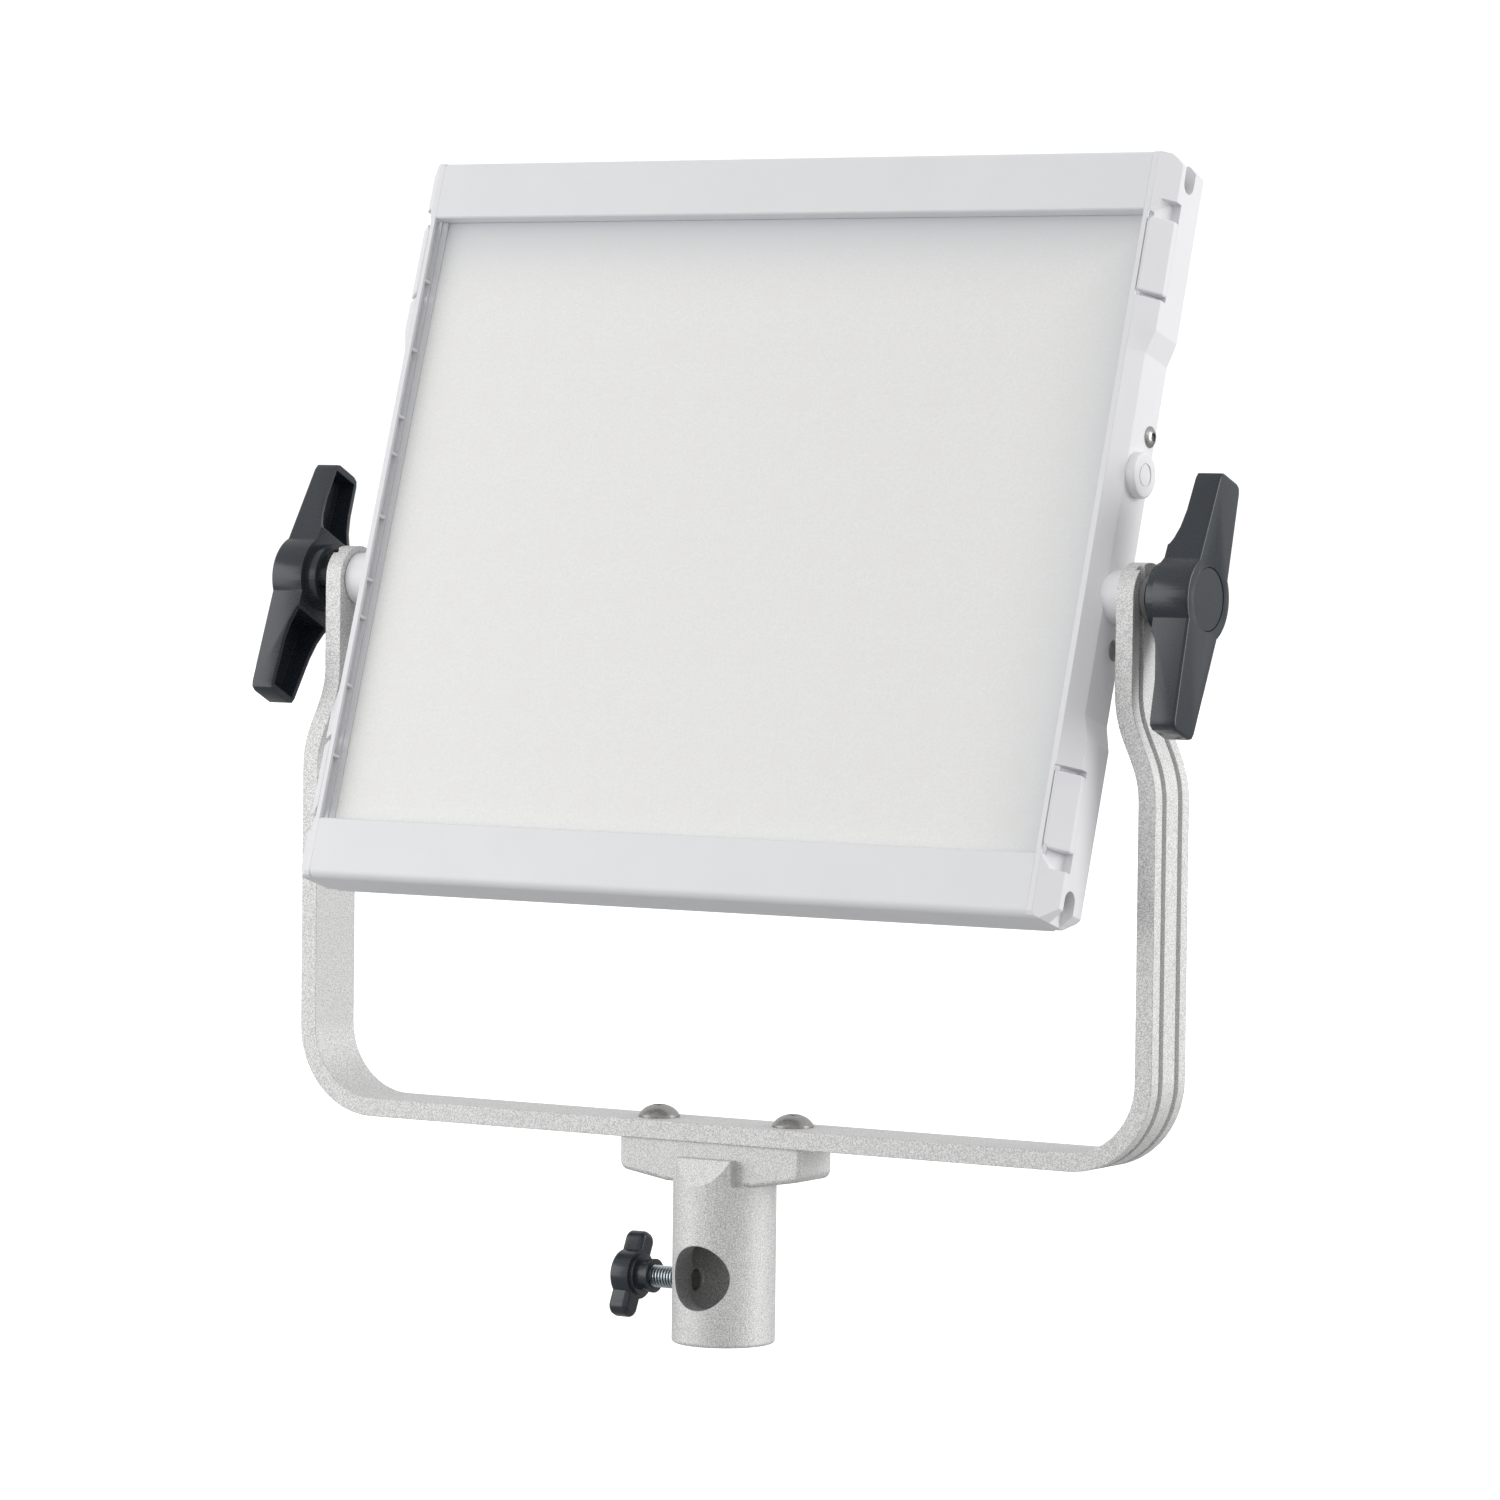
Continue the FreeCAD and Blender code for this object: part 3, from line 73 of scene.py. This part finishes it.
def make_camera():
    yaw, pitch, roll = (math.radians(value) for value in (CAMERA_YAW, CAMERA_PITCH, CAMERA_ROLL))
    look = Vector((-math.sin(yaw) * math.cos(pitch), math.cos(yaw) * math.cos(pitch), -math.sin(pitch)))
    level = Vector((math.cos(yaw), math.sin(yaw), 0))
    above = level.cross(look)
    right = level * math.cos(roll) + above * math.sin(roll)
    up = above * math.cos(roll) - level * math.sin(roll)
    data = bpy.data.cameras.new("camera")
    data.lens = CAMERA_LENS
    data.sensor_width = 36.0
    data.sensor_fit = "HORIZONTAL"
    data.clip_start = 0.05
    data.clip_end = 60.0
    camera = bpy.data.objects.new("camera", data)
    axes = Matrix((right, up, -look)).transposed()
    camera.matrix_world = Matrix.Translation(CAMERA_PLACE) @ axes.to_4x4()
    scene.collection.objects.link(camera)
    scene.camera = camera


# ---------------------------------------------------------------- places read from the frame
JOINTS = {joint["name"]: joint for joint in frame["record"]["behaviour"]["joints"]}
BODIES = {node: body for body, nodes in frame["record"]["behaviour"]["bodies"].items() for node in nodes}
SLOTS = {part["node"]: part["material_slot"] for part in frame["record"]["subparts"]}
PANEL_UP = Vector(JOINTS["latch_upper_right_slide"]["axis"])
PIVOT = Vector(JOINTS["head_tilt"]["pos_m"])
LED_PITCH = 0.0235
HEAD_RISE = 0.0257
PANEL_RISE = PIVOT.dot(PANEL_UP) + HEAD_RISE
PANEL_HALF_TALL = 0.143
PANEL_HALF_WIDE = 0.182
UPPER_SHADE = 0.045
SIDE_SHADE = 0.050
BORE_RADIUS = 0.0144
SIDE_BORE_RADIUS = 0.0143
SIDE_BORE_HEIGHT = 0.0305
BORE_DEPTH = 0.0701
BORE_MARGIN = 0.0002

# fineness of the surface patterns, in waves per metre
SPECK = 2100.0
WEAR = 22.0
FROST = 900.0
CLOUD = 30.0
MOTTLE = 38.0
THREAD_GRAIN = 1500.0


# ---------------------------------------------------------------- node helpers
class Shader:
    """A Principled material with short helpers for its procedural nodes."""

    def __init__(self, name):
        self.material = bpy.data.materials.new(name)
        self.material.use_nodes = True
        self.tree = self.material.node_tree
        self.bsdf = self.tree.nodes["Principled BSDF"]
        self.place = self.add("ShaderNodeTexCoord").outputs["Object"]

    def add(self, kind, **values):
        node = self.tree.nodes.new(kind)
        for key, value in values.items():
            setattr(node, key, value)
        return node

    def link(self, source, target):
        self.tree.links.new(source, target)

    def set(self, **values):
        for key, value in values.items():
            self.bsdf.inputs[key.replace("_", " ")].default_value = value

    def noise(self, scale, detail=2.0, roughness=0.5):
        node = self.add("ShaderNodeTexNoise")
        node.inputs["Scale"].default_value = scale
        node.inputs["Detail"].default_value = detail
        node.inputs["Roughness"].default_value = roughness
        self.link(self.place, node.inputs["Vector"])
        return node.outputs["Fac"]

    def remap(self, source, low, high, out_low, out_high):
        node = self.add("ShaderNodeMapRange")
        self.link(source, node.inputs["Value"])
        for key, value in (("From Min", low), ("From Max", high), ("To Min", out_low), ("To Max", out_high)):
            node.inputs[key].default_value = value
        return node.outputs["Result"]

    def mix(self, factor, first, second):
        node = self.add("ShaderNodeMix", data_type="RGBA")
        self.feed(factor, node.inputs["Factor"])
        self.feed(first, node.inputs["A"], "RGBA")
        self.feed(second, node.inputs["B"], "RGBA")
        return [slot for slot in node.outputs if slot.type == "RGBA"][0]

    def feed(self, source, target, kind="VALUE"):
        if kind == "RGBA":
            owner = target.node
            target = [slot for slot in owner.inputs if slot.type == "RGBA" and slot.name == target.name][0]
            if isinstance(source, (tuple, list)):
                target.default_value = (*source, 1.0)
                return
        if isinstance(source, (int, float)):
            target.default_value = source
        else:
            self.link(source, target)

    def math(self, operation, first, second=0.0):
        node = self.add("ShaderNodeMath", operation=operation)
        self.feed(first, node.inputs[0])
        self.feed(second, node.inputs[1])
        return node.outputs[0]

    def dot(self, way, shift):
        """Distance of a point along one direction, plus a shift."""
        node = self.add("ShaderNodeVectorMath", operation="DOT_PRODUCT")
        self.link(self.place, node.inputs[0])
        node.inputs[1].default_value = way
        return self.math("ADD", node.outputs["Value"], shift)

    def axes(self):
        """The three coordinates of a point, by letter."""
        node = self.add("ShaderNodeSeparateXYZ")
        self.link(self.place, node.inputs[0])
        return {letter: node.outputs[letter] for letter in "XYZ"}

    def reach(self, first, second):
        """Distance from an axis, out of the two coordinates across it."""
        squares = self.math("ADD", self.math("POWER", first, 2.0), self.math("POWER", second, 2.0))
        return self.math("SQRT", squares)

    def cell(self, distance):
        """Place within one cell of the LED grid, from -0.5 to 0.5."""
        return self.math("SUBTRACT", self.math("FRACT", self.math("DIVIDE", distance, LED_PITCH)), 0.5)

    def bump(self, height, strength, distance, edge=0.0):
        node = self.add("ShaderNodeBump")
        node.inputs["Strength"].default_value = strength
        node.inputs["Distance"].default_value = distance
        self.link(height, node.inputs["Height"])
        if edge:
            bevel = self.add("ShaderNodeBevel", samples=4)
            bevel.inputs["Radius"].default_value = edge
            self.link(bevel.outputs["Normal"], node.inputs["Normal"])
        self.link(node.outputs["Normal"], self.bsdf.inputs["Normal"])

    def colour(self, source):
        self.link(source, self.bsdf.inputs["Base Color"])

    def rough(self, source):
        self.link(source, self.bsdf.inputs["Roughness"])


def shaded(base, factor):
    """A colour made darker or brighter by one factor, at most white."""
    return tuple(min(1.0, value * factor) for value in base)


def moulded(name, base, variation, rough, grain=1800.0, depth=0.00003, edge=0.0004):
    """Moulded or painted surface: faint mottling, fine grain and softened edges."""
    s = Shader(name)
    patches = s.remap(s.noise(MOTTLE, 4.0), 0.35, 0.65, 0.0, 1.0)
    s.colour(s.mix(patches, shaded(base, 1 - variation), base))
    fine = s.noise(grain, 2.0)
    s.rough(s.remap(fine, 0.3, 0.7, rough - 0.05, rough + 0.05))
    s.bump(fine, 0.35, depth, edge)
    return s.material


def bore_shade_mask(s):
    """1 on the walls of the receiver's two bores, 0 elsewhere: the places that get painted shade."""
    axes = s.axes()
    upright = s.math("LESS_THAN", s.reach(axes["X"], axes["Y"]), BORE_RADIUS + BORE_MARGIN)
    below = s.math("LESS_THAN", axes["Z"], BORE_DEPTH)
    lift = s.math("SUBTRACT", axes["Z"], SIDE_BORE_HEIGHT)
    level = s.math("LESS_THAN", s.reach(axes["X"], lift), SIDE_BORE_RADIUS + BORE_MARGIN)
    in_front = s.math("LESS_THAN", axes["Y"], 0.0)
    return s.math("MAXIMUM", s.math("MULTIPLY", upright, below), s.math("MULTIPLY", level, in_front))


def blasted(name, base):
    """Bead-blasted cast aluminium: bright and dark specks, with painted shade darkening the walls of the
    receiver's bores.
    """
    s = Shader(name)
    speck = s.noise(SPECK, 1.0)
    tone = s.remap(speck, 0.36, 0.64, 0.0, 1.0)
    grain = s.mix(tone, shaded(base, 0.64), shaded(base, 1.2))
    worn = s.mix(s.remap(s.noise(WEAR, 3.0), 0.3, 0.7, 0.0, 0.14), grain, shaded(base, 0.8))
    # painted shade: the bore walls take this darker copy of the speckled colour, standing in for the shade
    # inside the bores
    bore_shade = s.mix(tone, shaded(base, 0.34), shaded(base, 0.80))
    s.colour(s.mix(bore_shade_mask(s), worn, bore_shade))
    s.rough(s.remap(speck, 0.3, 0.7, 0.52, 0.72))
    s.set(Metallic=0.6)
    s.bump(speck, 0.5, 0.0001, 0.0007)
    return s.material


def frosted(name, base):
    """Frosted sheet with the faint warm marks of the LED rows behind it, and painted shade under the frame's
    top and right edges.
    """
    s = Shader(name)
    fine = s.noise(FROST, 3.0, 0.7)
    across = s.dot((1.0, 0.0, 0.0), 0.0)
    height = s.dot(PANEL_UP, -PANEL_RISE)
    column = s.cell(s.math("ADD", across, 0.5 * LED_PITCH))
    row = s.cell(height)
    near = s.math("MAXIMUM", s.math("ABSOLUTE", column), s.math("ABSOLUTE", row))
    mark = s.remap(near, 0.16, 0.34, 1.0, 0.0)
    warm = tuple(value * tint for value, tint in zip(base, (1.0, 0.972, 0.955)))
    strength = s.remap(s.noise(CLOUD), 0.35, 0.65, 0.25, 0.9)
    lit = s.mix(s.math("MULTIPLY", mark, strength), base, warm)
    sheet = s.mix(s.remap(fine, 0.35, 0.65, 0.0, 1.0), shaded(base, 0.93), lit)
    # painted shade: the sheet turns blue-grey towards its top and right edges, where the frame shades it
    top_edge_shade = s.remap(height, PANEL_HALF_TALL - UPPER_SHADE, PANEL_HALF_TALL, 0.0, 1.0)
    right_edge_shade = s.remap(across, PANEL_HALF_WIDE - SIDE_SHADE, PANEL_HALF_WIDE, 0.0, 1.0)
    edge = s.math("MAXIMUM", s.math("POWER", top_edge_shade, 2.0), s.math("MULTIPLY", s.math("POWER", right_edge_shade, 2.0), 0.6))
    s.colour(s.mix(edge, sheet, (0.60, 0.615, 0.64)))
    s.rough(s.remap(fine, 0.3, 0.7, 0.5, 0.62))
    s.bump(fine, 0.25, 0.00004)
    return s.material


def metal(name, base, rough, grain=900.0, edge=0.0003):
    """Machined or plated metal with fine turning marks."""
    s = Shader(name)
    fine = s.noise(grain, 3.0)
    s.colour(s.mix(s.remap(fine, 0.3, 0.7, 0.0, 1.0), shaded(base, 0.82), base))
    s.rough(s.remap(fine, 0.3, 0.7, rough * 0.8, rough * 1.25))
    s.set(Metallic=1.0)
    s.bump(fine, 0.15, 0.00002, edge)
    return s.material


MATERIALS = {
    "cast_silver": blasted("cast_silver", (0.72, 0.72, 0.715)),
    "bolt_steel": metal("bolt_steel", (0.40, 0.39, 0.38), 0.32),
    "pad_steel": metal("pad_steel", (0.30, 0.29, 0.28), 0.4),
    "zinc_steel": metal("zinc_steel", (0.66, 0.72, 0.76), 0.22),
    "slate_plastic": moulded("slate_plastic", (0.017, 0.023, 0.031), 0.08, 0.25, 2200.0, 0.00002, 0.0003),
    "white_paint": moulded("white_paint", (0.76, 0.765, 0.785), 0.02, 0.42, 2600.0),
    "white_plastic": moulded("white_plastic", (0.78, 0.78, 0.80), 0.02, 0.38),
    "vent_plastic": moulded("vent_plastic", (0.80, 0.80, 0.81), 0.02, 0.40),
    "ledge_plastic": moulded("ledge_plastic", (0.74, 0.75, 0.77), 0.02, 0.45),
    "frosted_acrylic": frosted("frosted_acrylic", (0.84, 0.84, 0.825)),
    "board_white": moulded("board_white", (0.78, 0.78, 0.77), 0.02, 0.5),
    "led_phosphor": moulded("led_phosphor", (0.90, 0.72, 0.32), 0.06, 0.4),
    "heatsink_aluminium": moulded("heatsink_aluminium", (0.74, 0.74, 0.76), 0.03, 0.45),
    "fascia_plastic": moulded("fascia_plastic", (0.055, 0.058, 0.062), 0.08, 0.5, 2400.0),
    "display_glass": moulded("display_glass", (0.010, 0.011, 0.013), 0.3, 0.08, 300.0, 0.000002, 0.0002),
    "dial_plastic": moulded("dial_plastic", (0.030, 0.031, 0.034), 0.1, 0.42),
    "button_rubber": moulded("button_rubber", (0.10, 0.105, 0.11), 0.1, 0.7),
    "button_plastic": moulded("button_plastic", (0.022, 0.022, 0.025), 0.1, 0.35),
    "connector_black": moulded("connector_black", (0.018, 0.018, 0.02), 0.1, 0.45),
    "connector_steel": metal("connector_steel", (0.58, 0.59, 0.61), 0.25),
    "circuit_board": moulded("circuit_board", (0.02, 0.14, 0.06), 0.25, 0.4, 500.0),
    "washer_nylon": moulded("washer_nylon", (0.23, 0.23, 0.225), 0.1, 0.4),
}


def dress(piece, material):
    piece.data.materials.clear()
    piece.data.materials.append(material)


def thread_metal(name, base, radius, depth, centre):
    """Plated thread: bright crests over painted shade in the roots, told apart by distance from the screw's
    axis.
    """
    s = Shader(name)
    axes = s.axes()
    off = [s.math("SUBTRACT", axes[letter], value) for letter, value in zip("YZ", centre)]
    root_shade_fade = s.remap(s.reach(*off), radius - depth, radius - depth * 0.15, 0.0, 1.0)
    fine = s.noise(THREAD_GRAIN, 2.0)
    bright = s.mix(s.remap(fine, 0.3, 0.7, 0.0, 1.0), shaded(base, 0.85), base)
    # painted shade: the thread roots are darkened to a near-black grey, standing in for the shade between the
    # crests
    s.colour(s.mix(root_shade_fade, (0.16, 0.18, 0.19), bright))
    s.rough(s.remap(fine, 0.3, 0.7, 0.2, 0.34))
    s.set(Metallic=1.0)
    return s.material


def add_piece(name, mesh, node):
    """Shows a new mesh in place of a CAD node, with its body and its material."""
    piece = bpy.data.objects.new(name, mesh)
    scene.collection.objects.link(piece)
    dress(piece, MATERIALS[SLOTS[node]])
    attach(piece, BODIES[node])
    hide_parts(node)
    return piece


WELD = 2e-6
FLAT_ANGLE = math.radians(0.6)
SHARP_ANGLE = math.radians(30.0)


def softened(node, width):
    """A copy of a CAD node whose edges are really rounded."""
    mesh = bpy.data.meshes.new(node + "_soft")
    shape = bmesh.new()
    shape.from_mesh(NODES[node].data)
    bmesh.ops.remove_doubles(shape, verts=shape.verts, dist=WELD)
    bmesh.ops.dissolve_limit(shape, angle_limit=FLAT_ANGLE, verts=shape.verts, edges=shape.edges)
    for face in shape.faces:
        face.smooth = True
    shape.to_mesh(mesh)
    shape.free()
    piece = add_piece(node + "_soft", mesh, node)
    bevel = piece.modifiers.new("edges", "BEVEL")
    bevel.width = width
    bevel.segments = 3
    bevel.limit_method = "ANGLE"
    bevel.angle_limit = SHARP_ANGLE
    bevel.use_clamp_overlap = True
    bevel.harden_normals = True
    return piece


THREAD_STEPS = 40
THREAD_RADIUS = 0.005
THREAD_PITCH = 0.0015
THREAD_DEPTH = 0.00095


def threaded_stud(node, radius, pitch, depth):
    """A screw along X with a real helical thread, as long as the CAD node."""
    low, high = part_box(node)
    y, z = (low[1] + high[1]) / 2, (low[2] + high[2]) / 2
    root = radius - depth
    section = ((0.0, root), (0.22, root), (0.46, radius), (0.60, radius), (0.84, root))
    turns = math.ceil((high[0] - low[0]) / pitch) + 2
    shape = bmesh.new()
    rows = []
    for step in range(turns * THREAD_STEPS + 1):
        angle = 2 * math.pi * step / THREAD_STEPS
        row = []
        for along, reach in section:
            x = low[0] + (step / THREAD_STEPS - 1 + along) * pitch
            reach = root if x < low[0] or x > high[0] else reach
            x = min(max(x, low[0]), high[0])
            row.append(shape.verts.new((x, y + reach * math.cos(angle), z + reach * math.sin(angle))))
        rows.append(row)
    for step in range(len(rows) - 1):
        for index in range(len(section) - 1):
            shape.faces.new((rows[step][index], rows[step + 1][index],
                             rows[step + 1][index + 1], rows[step][index + 1]))
        if step + THREAD_STEPS + 1 < len(rows):
            shape.faces.new((rows[step][-1], rows[step + 1][-1],
                             rows[step + THREAD_STEPS + 1][0], rows[step + THREAD_STEPS][0]))
    for ring, x in (([row[0] for row in rows[:THREAD_STEPS + 1]], low[0]),
                    ([row[-1] for row in rows[-THREAD_STEPS - 1:]], high[0])):
        hub = shape.verts.new((x, y, z))
        for first, second in zip(ring, ring[1:]):
            shape.faces.new((hub, first, second))
    bmesh.ops.remove_doubles(shape, verts=shape.verts, dist=1e-6)
    bmesh.ops.dissolve_degenerate(shape, dist=1e-6, edges=shape.edges)
    bmesh.ops.recalc_face_normals(shape, faces=shape.faces)
    mesh = bpy.data.meshes.new(node + "_thread")
    shape.to_mesh(mesh)
    shape.free()
    mesh.set_sharp_from_angle(angle=math.radians(25.0))
    piece = add_piece(node + "_thread", mesh, node)
    dress(piece, thread_metal("zinc_thread", (0.70, 0.76, 0.80), radius, depth, (y, z)))
    return piece


# distance from the axis and height above the fascia, in millimetres
DIAL_PROFILE = ((0.0, 11.4), (7.4, 11.4), (8.2, 11.0), (8.9, 10.2), (8.9, 1.8), (8.5, 0.4),
                (3.0, 0.4), (3.0, -7.0), (0.0, -7.0))
DIAL_STEPS = 96
DIAL_FLUTE = 0.30


def fluted_dial(node):
    """A dial with a fluted grip on its shaft, lathed about its own joint."""
    joint = JOINTS[node + "_spin"]
    axis = Vector(joint["axis"]).normalized()
    turn = axis.to_track_quat("Z", "Y")
    place = Vector(joint["pos_m"])
    shape = bmesh.new()
    rings = []
    for reach, level in DIAL_PROFILE:
        ring = []
        for step in range(DIAL_STEPS):
            angle = 2 * math.pi * step / DIAL_STEPS
            wave = DIAL_FLUTE * (0.5 - 0.5 * math.cos(DIAL_STEPS / 4 * angle)) if reach > 8.6 else 0.0
            spot = Vector(((reach - wave) * math.cos(angle), (reach - wave) * math.sin(angle), level)) / 1000
            ring.append(shape.verts.new(place + turn @ spot))
        rings.append(ring)
    for first, second in zip(rings, rings[1:]):
        for step in range(DIAL_STEPS):
            after = (step + 1) % DIAL_STEPS
            shape.faces.new((first[step], first[after], second[after], second[step]))
    bmesh.ops.remove_doubles(shape, verts=shape.verts, dist=1e-7)
    bmesh.ops.dissolve_degenerate(shape, dist=1e-7, edges=shape.edges)
    bmesh.ops.recalc_face_normals(shape, faces=shape.faces)
    mesh = bpy.data.meshes.new(node + "_fluted")
    shape.to_mesh(mesh)
    shape.free()
    mesh.set_sharp_from_angle(angle=math.radians(35.0))
    return add_piece(node + "_fluted", mesh, node)


HANDLE_EDGE = 0.0011
CLAMP_EDGE = 0.0008


def make_pieces():
    for node in ("tilt_knob_right", "tilt_knob_left"):
        softened(node, HANDLE_EDGE)
    softened("clamp_knob", CLAMP_EDGE)
    threaded_stud("clamp_stud", THREAD_RADIUS, THREAD_PITCH, THREAD_DEPTH)
    for node in ("dimmer_dial", "colour_dial"):
        fluted_dial(node)


def dress_cad():
    for part in frame["record"]["subparts"]:
        dress(NODES[part["node"]], MATERIALS[part["material_slot"]])


# ---------------------------------------------------------------- stage
FLOOR_DROP = 0.30
FLOOR_REACH = 14.0
LIGHTS = {
    # name: (place, aimed at, width, height, watts)
    "key_left": ((-1.5, -1.35, 0.55), (0.0, 0.0, 0.3), 1.6, 1.6, 16.5),
    "fill_right": ((2.2, 0.85, 0.6), (0.0, 0.0, 0.3), 1.2, 1.6, 26.0),
}


def make_floor():
    mesh = bpy.data.meshes.new("floor")
    low = cad_box[0][2] - FLOOR_DROP
    corners = [(x, y, low) for x, y in ((-1, -1), (1, -1), (1, 1), (-1, 1))]
    mesh.from_pydata([(x * FLOOR_REACH, y * FLOOR_REACH, z) for x, y, z in corners], [], [(0, 1, 2, 3)])
    floor = bpy.data.objects.new("floor", mesh)
    scene.collection.objects.link(floor)
    s = Shader("pale_floor")
    s.colour(s.mix(s.remap(s.noise(2.0), 0.3, 0.7, 0.0, 1.0), (0.40, 0.40, 0.40), (0.42, 0.42, 0.42)))
    s.set(Roughness=0.9)
    s.bsdf.inputs["Emission Color"].default_value = (1, 1, 1, 1)
    seen = s.add("ShaderNodeLightPath").outputs["Is Camera Ray"]
    s.link(seen, s.bsdf.inputs["Emission Strength"])
    dress(floor, s.material)


def make_light(name, place, target, width, height, watts):
    data = bpy.data.lights.new(name, "AREA")
    data.shape = "RECTANGLE"
    data.size = width
    data.size_y = height
    data.energy = watts
    light = bpy.data.objects.new(name, data)
    light.location = place
    light.rotation_euler = (Vector(target) - Vector(place)).to_track_quat("-Z", "Y").to_euler()
    scene.collection.objects.link(light)


def make_world():
    world = bpy.data.worlds.new("studio")
    world.use_nodes = True
    tree = world.node_tree
    shade = tree.nodes["Background"]
    shade.inputs["Color"].default_value = (1.0, 1.0, 1.0, 1.0)
    shade.inputs["Strength"].default_value = 0.84
    bright = tree.nodes.new("ShaderNodeBackground")
    bright.inputs["Color"].default_value = (1.0, 1.0, 1.0, 1.0)
    bright.inputs["Strength"].default_value = 1.1
    choose = tree.nodes.new("ShaderNodeMixShader")
    seen = tree.nodes.new("ShaderNodeLightPath")
    tree.links.new(seen.outputs["Is Camera Ray"], choose.inputs[0])
    tree.links.new(shade.outputs[0], choose.inputs[1])
    tree.links.new(bright.outputs[0], choose.inputs[2])
    tree.links.new(choose.outputs[0], tree.nodes["World Output"].inputs["Surface"])
    scene.world = world


make_camera()
dress_cad()
make_pieces()
make_floor()
make_world()
for light_name, light in LIGHTS.items():
    make_light(light_name, *light)
scene.view_settings.view_transform = "Standard"
